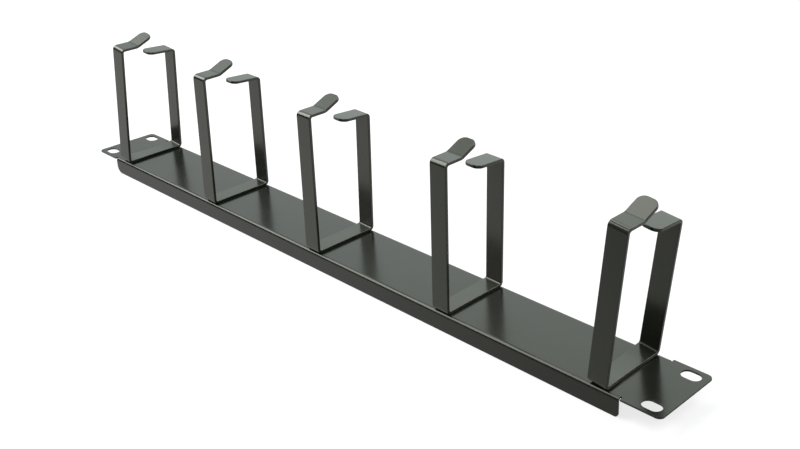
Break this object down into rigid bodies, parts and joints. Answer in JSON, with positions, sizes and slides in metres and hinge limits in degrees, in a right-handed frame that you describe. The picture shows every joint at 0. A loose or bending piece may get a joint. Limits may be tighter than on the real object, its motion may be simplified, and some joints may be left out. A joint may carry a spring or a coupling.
{
  "type": "horizontal cable manager",
  "caption": "Folded sheet-steel rack panel with slotted ears and a row of open strip rings that hold cables along its front; powder coated.",
  "frame": {"origin": "middle of the panel at the level of the flanges' lower edges", "axes": "+X along the panel, +Z out of the panel's face towards the rings' lips, -Y the side of the rings' taller upright and raised lip"},
  "size_m": [0.4826, 0.0438, 0.1018],
  "materials": {
    "panel_coat": "semi-gloss black powder coat",
    "ring_coat": "semi-gloss black powder coat"
  },
  "bodies": {
    "root": {"front_panel": "panel_coat", "cable_ring_1": "ring_coat", "cable_ring_2": "ring_coat", "cable_ring_3": "ring_coat", "cable_ring_4": "ring_coat", "cable_ring_5": "ring_coat"}
  },
  "joints": []
}
